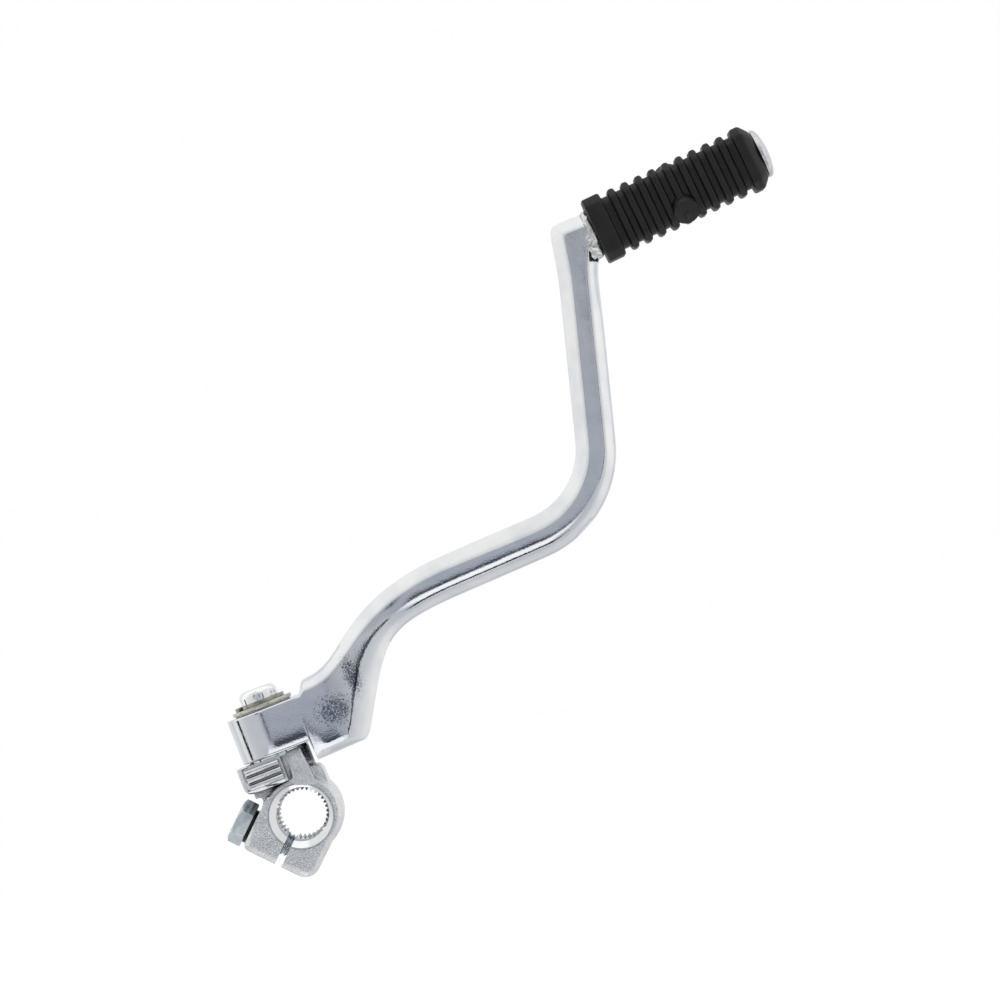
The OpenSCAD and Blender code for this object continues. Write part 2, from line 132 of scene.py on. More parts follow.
# and behind the lever there are only panels
behind = add_node(tree, "MapRange", {"Value": way.outputs["Y"], "From Min": 0.15, "From Max": 0.35})
beside = add_node(tree, "Math", {0: beside, 1: behind}, operation="MAXIMUM")
deep = add_node(tree, "Math", {0: way.outputs["Y"], 1: 0.5, 2: 0.5}, operation="MULTIPLY_ADD")
panels = add_node(tree, "ValToRGB", {"Fac": deep}, stops=[
    (0.0, "#C2C4C8"), (0.35, "#DCDCDA"), (0.5, "#F3F2EE"), (0.68, "#F8F7F3"), (0.76, "#D6D7D8"),
    (0.83, "#D8D9DB"), (0.89, "#E6E7E7"), (1.0, "#D2D4D7")])
fall = add_node(tree, "MapRange", {
    "Value": way.outputs["Z"], "From Min": -0.9, "From Max": 0.1, "To Min": 0.45, "To Max": 0.0})
panels = add_node(tree, "MixRGB", {"Fac": fall, "Color1": panels, "Color2": colour("#9EA1A6")})
# Low on the left a gap between two panels shows as a thin dark line
gap = add_node(tree, "Math", {0: way.outputs["Y"], 1: 0.045, 2: 0.085}, operation="COMPARE")
low_down = add_node(tree, "MapRange", {"Value": way.outputs["Z"], "From Min": -0.22, "From Max": -0.30})
not_under = add_node(tree, "MapRange", {"Value": way.outputs["Z"], "From Min": -0.56, "From Max": -0.46})
gap = add_node(tree, "Math", {0: gap, 1: low_down}, operation="MULTIPLY")
gap = add_node(tree, "Math", {0: gap, 1: not_under}, operation="MULTIPLY")
on_left = add_node(tree, "Math", {0: way.outputs["X"], 1: 0.0}, operation="LESS_THAN")
gap = add_node(tree, "Math", {0: gap, 1: on_left}, operation="MULTIPLY")
sides = add_node(tree, "MixRGB", {"Fac": gap, "Color1": panels, "Color2": colour("#1C1E22")})
# and level with the lever the near edges of the side panels do
rim = add_node(tree, "Math", {0: aside, 1: 0.42, 2: 0.055}, operation="COMPARE")
level = add_node(tree, "Math", {0: way.outputs["Z"], 1: 0.08, 2: 0.2}, operation="COMPARE")
rim = add_node(tree, "Math", {0: rim, 1: level}, operation="MULTIPLY")
rim = add_node(tree, "Math", {0: rim, 1: in_front}, operation="MULTIPLY")
sides = add_node(tree, "MixRGB", {"Fac": rim, "Color1": sides, "Color2": colour("#3A3E45")})
room = add_node(tree, "MixRGB", {"Fac": beside, "Color1": front, "Color2": sides})
room = add_node(tree, "MixRGB", {"Fac": card, "Color1": room, "Color2": colour("#101214")})
white = add_node(tree, "Background", {"Color": colour("#FFFFFF"), "Strength": 1.0})
soft = add_node(tree, "Background", {"Color": colour("#F4F6F8"), "Strength": 0.8})
mirrored = add_node(tree, "Background", {"Color": room, "Strength": 1.3})
ray = add_node(tree, "LightPath")
lit = add_node(tree, "MixShader",
               {0: ray.outputs["Is Glossy Ray"], 1: soft, 2: mirrored})
shown = add_node(tree, "MixShader",
                 {0: ray.outputs["Is Camera Ray"], 1: lit, 2: white})
add_node(tree, "OutputWorld", {"Surface": shown})

# Two large soft lamps, above and in front
for name, place, size, power in (
        ("lamp_above", (-0.2, -0.4, 1.0), 0.9, 4.0), ("lamp_front", (0.5, -1.2, 0.5), 0.8, 1.5)):
    bpy.ops.object.light_add(type="AREA", location=place)
    lamp = bpy.context.object
    lamp.name = name
    lamp.data.size = size
    lamp.data.energy = power
    lamp.rotation_euler = (PICTURE_CENTRE - lamp.location).to_track_quat("-Z", "Y").to_euler()
    lamp.visible_glossy = False


def coat(piece, material):
    """Gives a piece this material alone."""
    piece.data.materials.clear()
    piece.data.materials.append(material)
    return piece


# The floor is matt white paper, which the camera sees as white wherever no shadow falls
bpy.ops.mesh.primitive_plane_add(size=6, location=(0, 0, FLOOR_Z))
floor = bpy.context.object
floor.name = "studio_floor"
floor.visible_glossy = False
paper = bpy.data.materials.new("matt_white_paper")
paper.use_nodes = True
tree = paper.node_tree
fibres = add_node(tree, "TexNoise",
                  {"Vector": add_node(tree, "TexCoord").outputs["Object"], "Scale": 1 / (3 * MM)})
tone = add_node(tree, "ValToRGB", {"Fac": fibres}, stops=[(0.3, "#F6F6F5"), (0.7, "#FAFAF9")])
tree.links.new(tone.outputs["Color"], tree.nodes["Principled BSDF"].inputs["Base Color"])
tree.nodes["Principled BSDF"].inputs["Roughness"].default_value = 0.9
glow = add_node(tree, "Emission", {"Color": colour("#FFFFFF"), "Strength": 0.35})
brighter = add_node(tree, "AddShader", {0: tree.nodes["Principled BSDF"], 1: glow})
ray = add_node(tree, "LightPath")
paper_shown = add_node(tree, "MixShader", {
    0: ray.outputs["Is Camera Ray"], 1: tree.nodes["Principled BSDF"], 2: brighter})
tree.links.new(paper_shown.outputs[0], tree.nodes["Material Output"].inputs["Surface"])
coat(floor, paper)

# The clamp knuckle
# One steel forging: the split clamp ring, its two lugs, the neck, the ridged detent housing and
# the seat. It was forged, shot-blasted and chrome plated; the bore, the lands around it, the
# slot, the seat and the journal were machined.

CLAMP_TILT = 47.3
RING_R, RING_HALF, HUB_HALF, DRAFT = 13.1, 7.75, 10.0, 1.8
LUG_HALF, LUG_REACH, LUG_ROUND, HEAD_ROUND = 12.5, 18.6, 5, 1.9
SLOT_W, SLOT_SHIFT = 2.3, 0.2
NECK_LEFT, NECK_RIGHT, NECK_HALF, NECK_TOP, SHOULDER = -10.4, 11.3, 8.5, 13.2, 2.5
BORE_R, SPLINE_DEPTH, SPLINES = 7.5, 0.9, 34
LAND_R, FACE_PROUD, MOUTH, SINK_DEPTH = 10.4, 0.3, 1.0, 1.3
LAND_CENTRE, SINK_CENTRE = Vector((-0.7, 0, -0.65)), Vector((-0.72, 0, -0.66))
BOLT_DROP, BOLT_CLEAR = 11.6, 3.95
SEAT_R, SEAT_Z = 9.4, 20.75
JOURNAL_R, JOURNAL_TOP, JOURNAL_ROUND = 6.25, 42.5, 2.2
GROOVE_R, GROOVE_LOW, GROOVE_HIGH = 5.4, 37.25, 38.55
BALL_AT, BALL_HOLE_R, BALL_FLOOR = 9.3, 2.55, 9.25
HOUSING_LOW, HOUSING_TOP = 11.5, 20.2
HOUSING_LEFT, HOUSING_RIGHT, HOUSING_FRONT, HOUSING_BACK = -14.7, -0.2, -11.2, 5.0
HOUSING_ROUND, HOUSING_BEVEL = 2.4, 1.5
GUSSET_X, GUSSET_W, GUSSET_FRONT, GUSSET_TOP, GUSSET_LEAN = 4.4, 5.8, -10.4, 20.2, 1.2
TONGUE_H, TONGUE_SPAN = 1.8, 30
VOXEL, THROUGH = 0.34, 30


def only(*pieces):
    """Selects these pieces and nothing else; the first one is active."""
    bpy.ops.object.select_all(action="DESELECT")
    for piece in pieces:
        piece.select_set(True)
    bpy.context.view_layer.objects.active = pieces[0]


def settle(piece, name):
    """Names a piece and writes its place, turn and size into its mesh."""
    only(piece)
    piece.name = piece.data.name = name
    bpy.ops.object.transform_apply(location=True, rotation=True, scale=True)
    return piece


def pick(piece, test):
    """Enters edit mode and selects the corners for which test(x, y, z) holds, in mm."""
    bpy.ops.object.mode_set(mode="EDIT")
    bpy.ops.mesh.select_mode(type="VERT")
    bpy.ops.mesh.select_all(action="DESELECT")
    shape = bmesh.from_edit_mesh(piece.data)
    for corner in shape.verts:
        corner.select = bool(test(*(corner.co / MM)))
    shape.select_flush(True)
    bmesh.update_edit_mesh(piece.data)


def pick_edges(piece, test):
    """In edit mode, selects the edges for which test(edge, a, b) holds, with its ends in mm."""
    bpy.ops.mesh.select_all(action="DESELECT")
    shape = bmesh.from_edit_mesh(piece.data)
    for edge in shape.edges:
        edge.select = test(edge, *(corner.co / MM for corner in edge.verts))
    bmesh.update_edit_mesh(piece.data)


def finish_with(piece, kind, **settings):
    """Adds a modifier and applies it."""
    only(piece)
    modifier = piece.modifiers.new(kind.lower(), kind)
    for name, value in settings.items():
        setattr(modifier, name, value)
    bpy.ops.object.modifier_apply(modifier=modifier.name)
    return piece


def ease_edges(piece, width, angle):
    """Rounds the edges that are sharper than this angle, by a width in mm."""
    finish_with(piece, "BEVEL", width=width * MM, segments=2, limit_method="ANGLE",
                angle_limit=math.radians(angle))


def smooth(piece, angle):
    """Shades a piece smooth, except at edges that are sharper than this angle."""
    only(piece)
    bpy.ops.object.shade_smooth_by_angle(angle=math.radians(angle))


def carve(piece, cutter, operation="DIFFERENCE"):
    """Cuts, joins or crosses a piece with another, which is used up, and merges corners that meet."""
    finish_with(piece, "BOOLEAN", operation=operation, solver="EXACT", object=cutter,
                material_mode="TRANSFER")
    bpy.ops.object.mode_set(mode="EDIT")
    bpy.ops.mesh.select_all(action="SELECT")
    bpy.ops.mesh.remove_doubles(threshold=0.001 * MM)
    bpy.ops.object.mode_set(mode="OBJECT")
    bpy.data.objects.remove(cutter)
    return piece


def about(axis, degrees):
    """A turn about an axis."""
    return Matrix.Rotation(math.radians(degrees), 4, axis)


def block(low, high, turn=None):
    """A block between two corners in mm, turned about the axes by turn in degrees."""
    low, high = Vector(low), Vector(high)
    bpy.ops.object.select_all(action="DESELECT")
    bpy.ops.mesh.primitive_cube_add(size=1, location=(low + high) / 2 * MM, scale=(high - low) * MM)
    piece = settle(bpy.context.object, "block")
    if turn:
        piece.rotation_euler = [math.radians(angle) for angle in turn]
        settle(piece, "block")
    return piece


def rod(name, sides, radius, length, turn=(90, 0, 0), centre=(0, 0, 0)):
    """A cylinder with sizes in mm, which lies along Y unless it is turned, in degrees."""
    bpy.ops.object.select_all(action="DESELECT")
    bpy.ops.mesh.primitive_cylinder_add(
        vertices=sides, radius=radius * MM, depth=length * MM,
        rotation=[math.radians(angle) for angle in turn], location=Vector(centre) * MM)
    return settle(bpy.context.object, name)


def draw_out(profile):
    """In edit mode, draws what is selected out along Z, through a profile of (size, height) in mm."""
    for (size, z), (next_size, next_z) in zip(profile, profile[1:]):
        bpy.ops.mesh.extrude_region_move(TRANSFORM_OT_translate={"value": (0, 0, (next_z - z) * MM)})
        grow = next_size / size
        bpy.ops.transform.resize(value=(grow, grow, 1), center_override=(0, 0, next_z * MM))


def turned(name, profile, sides=96, frame_matrix=None):
    """A piece turned about Z: a circle drawn out along a profile of (radius, height) in mm."""
    bpy.ops.object.select_all(action="DESELECT")
    radius, z = profile[0]
    bpy.ops.mesh.primitive_circle_add(vertices=sides, radius=radius * MM, location=(0, 0, z * MM))
    piece = settle(bpy.context.object, name)
    bpy.ops.object.mode_set(mode="EDIT")
    bpy.ops.mesh.select_all(action="SELECT")
    draw_out(profile)
    bpy.ops.mesh.select_all(action="SELECT")
    if profile[0] == profile[-1]:
        bpy.ops.mesh.remove_doubles(threshold=0.002 * MM)
    else:
        bpy.ops.mesh.fill_holes(sides=0)
    bpy.ops.mesh.select_all(action="SELECT")
    bpy.ops.mesh.normals_make_consistent(inside=False)
    bpy.ops.object.mode_set(mode="OBJECT")
    if frame_matrix:
        piece.matrix_world = frame_matrix
        settle(piece, name)
    return piece


def metal(name, tint, roughness, peel, peel_size, wave=0.0, wave_size=9.0, tint_low=None):
    """A polished or plated metal.

    peel and wave are the heights of its fine and broad unevenness and peel_size and wave_size
    their widths, all in mm; roughness is a pair between which the broad one varies it.
    """
    material = bpy.data.materials.new(name)
    material.use_nodes = True
    tree = material.node_tree
    shader = tree.nodes["Principled BSDF"]
    shader.inputs["Metallic"].default_value = 1.0
    place = add_node(tree, "TexCoord").outputs["Object"]
    fine = add_node(tree, "TexNoise", {
        "Vector": place, "Scale": 1 / (peel_size * MM), "Detail": 2.0, "Roughness": 0.5})
    broad = add_node(tree, "TexNoise", {"Vector": place, "Scale": 1 / (wave_size * MM), "Detail": 1.5})
    tone = add_node(tree, "ValToRGB", {"Fac": broad}, stops=[(0.35, tint_low or tint), (0.65, tint)])
    tree.links.new(tone.outputs["Color"], shader.inputs["Base Color"])
    haze = add_node(tree, "MapRange", {"Value": broad, "From Min": 0.3, "From Max": 0.7,
                                                 "To Min": roughness[0], "To Max": roughness[1]})
    tree.links.new(haze.outputs["Result"], shader.inputs["Roughness"])
    skin = add_node(tree, "Bump", {"Height": fine, "Distance": peel * MM})
    body = add_node(tree, "Bump", {"Height": broad, "Distance": wave * MM, "Normal": skin})
    tree.links.new(body.outputs["Normal"], shader.inputs["Normal"])
    return material


def paint_shade_in_corners(material, reach):
    """Paints shade into a metal's colour: darker in its inner corners, within reach in mm."""
    tree = material.node_tree
    skin = tree.nodes["Principled BSDF"].inputs["Base Color"]
    open_to = add_node(tree, "AmbientOcclusion", {"Distance": reach * MM}, samples=8).outputs["AO"]
    open_to = add_node(tree, "MapRange", {
        "Value": open_to, "From Min": 0.35, "From Max": 0.95, "To Min": 0.08, "To Max": 1.0})
    shown = add_node(tree, "MixRGB", {
        "Fac": open_to, "Color1": colour("#242528"), "Color2": skin.links[0].from_socket})
    tree.links.new(shown.outputs[0], skin)


# Chrome over a shot-blasted forging keeps a bright, pebbled skin, and shade is painted into its corners as a
# darker colour
pebbled_chrome = metal("chrome_on_blasted_forging", "#D8D9DB", (0.05, 0.10), 0.32, 0.62, 0.15, 4.0, "#CED0D3")
paint_shade_in_corners(pebbled_chrome, 3.5)
# Chrome over a turned face stays a mirror with a fine grain
turned_chrome = metal("chrome_on_turned_steel", "#F1F2F3", (0.08, 0.14), 0.004, 0.35, 0.02, 6.0, "#E6E7E9")

# Chrome over a coined face is brighter than the blasted skin, and still a little uneven
coined_chrome = metal("chrome_on_coined_ridges", "#DCDDDF", (0.07, 0.12), 0.03, 0.6, 0.05, 3.0, "#CED0D4")
# Shade is painted darker into its corners, between the ridges and at their roots
paint_shade_in_corners(coined_chrome, 1.6)

# The ring: a short cylinder whose two ends are drawn out and narrowed by the die's draft
knuckle = rod("clamp_knuckle_forging", 96, RING_R, 2 * RING_HALF)
narrowed = (RING_R - DRAFT) / RING_R
for side in (-1, 1):
    pick(knuckle, lambda x, y, z: y * side > RING_HALF - 0.05)
    bpy.ops.mesh.extrude_region_move(
        TRANSFORM_OT_translate={"value": (0, side * (HUB_HALF - RING_HALF) * MM, 0)})
    bpy.ops.transform.resize(value=(narrowed, 1, narrowed), center_override=(0, side * HUB_HALF * MM, 0))
    bpy.ops.object.mode_set(mode="OBJECT")

# The lugs: one block with its corners rounded and its edges drafted
lugs = block((-LUG_HALF, -HUB_HALF, -LUG_REACH), (LUG_HALF, HUB_HALF, 0))
pick(lugs, lambda x, y, z: x > LUG_HALF - 0.5 and z < 0.5 - LUG_REACH)
bpy.ops.mesh.bevel(offset=LUG_ROUND * MM, segments=8, affect="EDGES")
pick(lugs, lambda x, y, z: x < 0.5 - LUG_HALF and z < 0.5 - LUG_REACH)
bpy.ops.mesh.bevel(offset=HEAD_ROUND * MM, segments=3, affect="EDGES")
for side in (-1, 1):
    # All round the face, but not at the root or under the bolt's head
    pick_edges(lugs, lambda edge, a, b: (
        abs(a.y - side * HUB_HALF) < 0.01 and abs(b.y - side * HUB_HALF) < 0.01
        and min(a.z, b.z) <= -0.1 and max(a.x, b.x) >= 0.1 - LUG_HALF))
    bpy.ops.mesh.bevel(offset=DRAFT * MM, segments=1, affect="EDGES")
bpy.ops.object.mode_set(mode="OBJECT")
lugs.rotation_euler = (0, math.radians(CLAMP_TILT), 0)

# The neck, with its shoulder on the arm's side
neck = block((NECK_LEFT, -NECK_HALF, 2.0), (NECK_RIGHT, NECK_HALF, NECK_TOP))
pick(neck, lambda x, y, z: x > NECK_RIGHT - 0.1 and z > NECK_TOP - 0.1)
bpy.ops.mesh.bevel(offset=SHOULDER * MM, segments=2, affect="EDGES")
bpy.ops.object.mode_set(mode="OBJECT")
seat = turned("seat", [(SEAT_R - 0.05, 9.0), (SEAT_R - 0.05, SEAT_Z - 0.4)])

# The gusset, narrower and nearer at its top
gusset = block((GUSSET_X - GUSSET_W / 2 - 0.6, GUSSET_FRONT, 8.0),
               (GUSSET_X + GUSSET_W / 2 + 0.6, 0, GUSSET_TOP))
pick(gusset, lambda x, y, z: z > GUSSET_TOP - 0.1 and y < GUSSET_FRONT + 0.1)
bpy.ops.transform.translate(value=(0, GUSSET_LEAN * MM, 0))
pick(gusset, lambda x, y, z: z > GUSSET_TOP - 0.1)
bpy.ops.transform.resize(value=(0.7, 1, 1), center_override=(GUSSET_X * MM, 0, GUSSET_TOP * MM))
bpy.ops.object.mode_set(mode="OBJECT")

# The detent housing, bevelled to the front, with three ridges and its root on the ring
housing = block((HOUSING_LEFT, HOUSING_FRONT, HOUSING_LOW), (HOUSING_RIGHT, HOUSING_BACK, HOUSING_TOP))
pick(housing, lambda x, y, z: x < HOUSING_LEFT + 0.5 and z < HOUSING_LOW + 0.5)
bpy.ops.mesh.bevel(offset=HOUSING_ROUND * MM, segments=5, affect="EDGES")
pick_edges(housing, lambda edge, a, b: (
    max(a.y, b.y) < HOUSING_FRONT + 0.2 and max(a.x, b.x) < HOUSING_LEFT + HOUSING_ROUND + 0.3))
bpy.ops.mesh.bevel(offset=HOUSING_BEVEL * MM, segments=2, affect="EDGES")
bpy.ops.object.mode_set(mode="OBJECT")
root = block((HOUSING_LEFT + HOUSING_ROUND, -NECK_HALF, 9.5), (0, HOUSING_BACK, 12.4))

only(knuckle, lugs, neck, seat, gusset, root)
bpy.ops.object.join()
bpy.ops.object.transform_apply(location=True, rotation=True, scale=True)
finish_with(knuckle, "REMESH", mode="VOXEL", voxel_size=VOXEL * MM)
finish_with(knuckle, "SMOOTH", factor=0.5, iterations=6)
coat(knuckle, pebbled_chrome)

# The ridges are coined crisply into the housing's front
RIDGE_R, RIDGE_LEN, RIDGE_X, RIDGE_PITCH = 0.95, 11.4, -6.9, 2.37
for i in range(3):
    centre = (RIDGE_X, HOUSING_FRONT, HOUSING_LOW + 0.8 + RIDGE_PITCH * (i + 0.5))
    carve(housing, rod("ridge", 24, RIDGE_R, RIDGE_LEN, (0, 90, 0), centre), "UNION")
ease_edges(housing, 0.22, 30)
coat(housing, coined_chrome)
carve(knuckle, housing, "UNION")

# Machined: a land round each mouth of the bore, set a little toward the slot. The lands, the
# bore and its mouths are cut in one sleeve, which then takes the place of the forging's core.
face = HUB_HALF + FACE_PROUD
sleeve, core = (coat(rod("sleeve", 96, radius, length, centre=LAND_CENTRE), turned_chrome)
                for radius, length in ((LAND_R, 2 * face), (LAND_R - 0.5, THROUGH)))

# The splined bore: every second pair of corners of the cutter is moved outward
broach = rod("broach", 4 * SPLINES, BORE_R, 2 * HUB_HALF + 6)
pick(broach, lambda x, y, z: int(math.degrees(math.atan2(z, x)) % 360 / 360 * 4 * SPLINES + 0.5) % 4 < 2)
grow = (BORE_R + SPLINE_DEPTH) / BORE_R
bpy.ops.transform.resize(value=(grow, 1, grow), center_override=(0, 0, 0))
bpy.ops.object.mode_set(mode="OBJECT")
# The plating is thin and dull inside the bore
carve(sleeve, coat(broach, metal(
    "thin_chrome_in_broached_bore", "#A4A6A9", (0.22, 0.32), 0.006, 0.4, 0.02, 3.0, "#86888B")))
MOUTH_R, SINK_R = BORE_R + MOUTH, LAND_R - 0.23
for side in (-1, 1):
    mouth = turned("mouth", [
        (BORE_R - 0.5, face - MOUTH - 1.5), (MOUTH_R, face - MOUTH), (MOUTH_R, face + 0.5)],
        96, about("X", 90 * side))
    # The countersink sits a little toward the slot, so its bright ring is wider there
    sink = turned("sink", [
        (MOUTH_R - 0.46, face - SINK_DEPTH), (SINK_R, face + 0.03), (SINK_R, face + 0.6)],
        88, Matrix.Translation(SINK_CENTRE * MM) @ about("X", 90 * side) @ about("Z", 1.3))
    carve(sleeve, carve(coat(mouth, turned_chrome), coat(sink, turned_chrome), "UNION"))
carve(knuckle, core)
carve(knuckle, sleeve, "UNION")

# The slot between the lugs and the bolt's hole
slot = block((SLOT_SHIFT - SLOT_W / 2, -14, -22), (SLOT_SHIFT + SLOT_W / 2, 14, -BORE_R / 2),
             (0, CLAMP_TILT, 0))
carve(knuckle, coat(slot, turned_chrome))
in_clamp = about("Y", CLAMP_TILT) @ Matrix.Translation((0, 0, -BOLT_DROP * MM)) @ about("Y", 90)
drill = turned("drill", [(BOLT_CLEAR, -16), (BOLT_CLEAR, 16)], 64, in_clamp)
carve(knuckle, coat(drill, turned_chrome))

# The seat's ground face, the stop on it and the journal with its groove and rounded top
rounded_top = [(JOURNAL_R - JOURNAL_ROUND * (1 - math.cos(math.radians(a))),
                JOURNAL_TOP - JOURNAL_ROUND * (1 - math.sin(math.radians(a)))) for a in range(0, 91, 10)]
journal = turned("journal", [
    (SEAT_R, SEAT_Z - 1.2), (SEAT_R, SEAT_Z - 0.15), (SEAT_R - 0.15, SEAT_Z), (JOURNAL_R, SEAT_Z),
    (JOURNAL_R, GROOVE_LOW), (GROOVE_R, GROOVE_LOW), (GROOVE_R, GROOVE_HIGH),
    (JOURNAL_R, GROOVE_HIGH)] + rounded_top)
carve(knuckle, coat(journal, turned_chrome), "UNION")


def pipe(name, inner, outer, low, top):
    """A ring round the journal's axis, with sizes in mm."""
    return turned(name, [(inner, low), (outer, low), (outer, top), (inner, top), (inner, low)])


def beyond(angle):
    """A block over the seat, on the left of the line from the journal's axis at this angle."""
    return block((-20, 0, SEAT_Z - 3), (20, 40, SEAT_Z + 4), (0, 0, angle))


# What is left of the tongue's ring spans the same angle either side of the arm
tongue = coat(pipe("tongue", JOURNAL_R - 0.5, SEAT_R - 0.05, SEAT_Z - 1, SEAT_Z + TONGUE_H), turned_chrome)
carve(tongue, beyond(180 - TONGUE_SPAN))
carve(tongue, beyond(TONGUE_SPAN))
carve(knuckle, tongue, "UNION")
# The blind hole for the detent's spring
drill = turned("drill", [(BALL_HOLE_R, BALL_FLOOR), (BALL_HOLE_R, 24)], 48,
               Matrix.Translation((-BALL_AT * MM, 0, 0)))
carve(knuckle, coat(drill, turned_chrome))
smooth(knuckle, 27)
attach(knuckle, "knuckle")
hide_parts("clamp_knuckle")

# The clamp bolt
# A standard M8 bolt that draws the lugs together. It is cold-headed steel with a rolled thread,
# zinc plated and passivated, so it is greyer and bluer than the chrome.

HEX_AF, HEX_H = 13.0, 4.8
COLLAR_R, COLLAR_H = 5.6, 1.1
BOLT_R, PITCH, THREAD_DEPTH, PLAIN_LEN, TIP = 3.9, 1.25, 0.62, 8.0, 0.8

# The passivated layer over the zinc is a little cloudy
zinc = metal("blue_passivated_zinc", "#CBD3D6", (0.22, 0.30), 0.010, 0.30, 0.02, 3.0, "#BAC4C9")
zinc.node_tree.nodes["Principled BSDF"].inputs["Metallic"].default_value = 0.75
# The collar is painted dark for the shade in the gap under the head
gap_shade_zinc = metal("zinc_painted_with_gap_shade", "#3C3D3F", (0.40, 0.50), 0.010, 0.30, 0.02, 3.0, "#2A2B2D")

hex_r, under_head = HEX_AF / math.sqrt(3), HEX_H + COLLAR_H
bolt = coat(turned("clamp_bolt_m8", [(hex_r, 0), (hex_r, HEX_H)], 6), zinc)
dome = turned("dome", [(6.15, -0.02), (7.6, 0.75), (7.6, HEX_H - 0.35), (7.05, HEX_H + 0.02)], 96)
carve(bolt, coat(dome, zinc), "INTERSECT")
ease_edges(bolt, 0.16, 35)
# The collar takes the zinc painted dark with that shade
collar = turned("collar", [(COLLAR_R, HEX_H - 0.3), (COLLAR_R, under_head)], 64)
carve(bolt, coat(collar, gap_shade_zinc), "UNION")
root_r = BOLT_R - THREAD_DEPTH
thread = [(BOLT_R, under_head - 0.5)]
z = under_head + PLAIN_LEN
while z < under_head + 2 * LUG_HALF - 2 * TIP:
    thread += [(BOLT_R, z), (BOLT_R, z + 0.16), (root_r, z + 0.6), (root_r, z + 0.72)]
    z += PITCH
thread += [(BOLT_R, under_head + 2 * LUG_HALF - TIP), (BOLT_R - TIP, under_head + 2 * LUG_HALF)]
carve(bolt, coat(turned("shank", thread, 64), zinc), "UNION")
head_at = Vector((-LUG_HALF - COLLAR_H - HEX_H, 0, -BOLT_DROP)) * MM
bolt.matrix_world = about("Y", CLAMP_TILT) @ Matrix.Translation(head_at) @ about("Y", 90) @ about("Z", 30)
smooth(settle(bolt, "clamp_bolt_m8"), 30)
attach(bolt, "knuckle")
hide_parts("clamp_bolt")

# The detent
# A hardened steel ball on a coiled spring, both dropped into the housing's hole and held there
# by the eye. The ball is lapped bright; the spring is oiled music wire.

ball_steel = metal("lapped_bearing_steel", "#C4C5C7", (0.05, 0.09), 0.001, 0.3, 0.0, 2.0)
music_wire = metal("oiled_music_wire", "#6A6560", (0.28, 0.40), 0.006, 0.12, 0.01, 1.5, "#57524C")
# Both pieces are carried over from the CAD, and only get their materials here
coat(bpy.data.objects["detent_ball"], ball_steel)
coat(bpy.data.objects["detent_spring"], music_wire)

# The arm
# One steel forging: the eye, a skirt under it, an S-shaped web, a bend and a short stub at the
# top. The die left flat faces with sloping flanks. It was polished and chrome plated.

EYE_R = 12.4
EYE_LOW, EYE_TOP = 20.8, 35.6
SKIRT_X, SKIRT_Z, SKIRT_FAR = 10.4, 14.0, 28.2
EYE_EDGE, SKIRT_FALL, SKIRT_FLAT_Z = 0.45, 0.09, EYE_LOW + 3.65
MID_LEN, MID_HALF, RISE_HALF, ARM_HALF_T = 54, 6.85, 6.45, 6.5
MID_FLANK_UP, MID_FLANK_LOW, RISE_FLANK_UP, RISE_FLANK_LOW = 4.8, 2.7, 4.0, 3.1
BEND_AT, BEND_R = Vector((124.4, 55.4)), 30.0
MID_SLOPE, RISE_SLOPE, PEDAL_SLOPE = 2.1, 74.6, 4.2
PEDAL_AT = Vector((183.3, 141.1))
STUB_HALF, STUB_END = 7.2, -31.2
PIN_R, SOCKET, PLAY = 6.0, 6.0, 0.05
SKIRT_SHARE, EDGE_TIGHT = 0.2, 0.8
POCKET_FROM, POCKET_TO = 30.3, 59.7
BALL_POCKET_R, BALL_POCKET_Z = 2.55, 18.7


def heading(angle):
    """The unit vector in X and Z at this angle above X, in degrees."""
    return Vector((math.cos(math.radians(angle)), math.sin(math.radians(angle))))


def bezier(p, t):
    """The point at t, from 0 to 1, on the curve with these two ends and two handles."""
    return (1 - t) ** 3 * p[0] + 3 * (1 - t) ** 2 * t * p[1] + 3 * (1 - t) * t * t * p[2] + t ** 3 * p[3]


def mix(a, b, t):
    return a + (b - a) * t


def ease(t):
    t = min(1, max(0, t))
    return t * t * (3 - 2 * t)


def crossing(p, a, q, b):
    """Where the line through p at angle a meets the line through q at angle b."""
    u, v, w = heading(a), heading(b), q - p
    return p + u * (w.x * v.y - w.y * v.x) / (u.x * v.y - u.y * v.x)


def section(up, low, up_in, low_in, half_t, edge, soft_up=1.0, soft_low=1.0, fall=0.055):
    """Twelve corners of the forging's section.

    up and low are its upper and lower edge, up_in and low_in the inner ends of the two sloping
    flanks; soft_up and soft_low say how far from there the flat begins, and fall is the slope
    from its end down to the lower flank.
    """
    across = (up_in - low_in).normalized()
    half = [(low, edge), (low_in, half_t - fall * soft_low), (low_in + across * soft_low, half_t),
            (up_in - across * soft_up, half_t), (up_in, half_t), (up, edge)]
    return [(p.x, -y, p.y) for p, y in half] + [(p.x, y, p.y) for p, y in reversed(half)]


def plain_section(up, low, half_t, flank_up, flank_low, edge, soft_up=1.0, soft_low=1.0, fall=0.055):
    across = (up - low).normalized()
    return section(up, low, up - across * flank_up, low + across * flank_low, half_t, edge,
                   soft_up, soft_low, fall)


def eye_section(x, half_t):
    rolled = ease((x + 5) / 4)
    edge = max(half_t - EYE_EDGE - 0.3 * rolled, 0.3 * half_t)
    return plain_section(Vector((x, EYE_TOP)), Vector((x, EYE_LOW)), half_t, EYE_EDGE, EYE_EDGE, edge,
                         0.5, mix(0.5, 3.2, rolled), SKIRT_FALL * rolled)


def beam(centre, angle, half, up=4.0, low=3.0, soft_up=1.0, soft_low=1.8):
    across = heading(angle + 90) * half
    return plain_section(centre + across, centre - across, ARM_HALF_T, up, low, ARM_HALF_T * 0.3,
                         soft_up, soft_low)


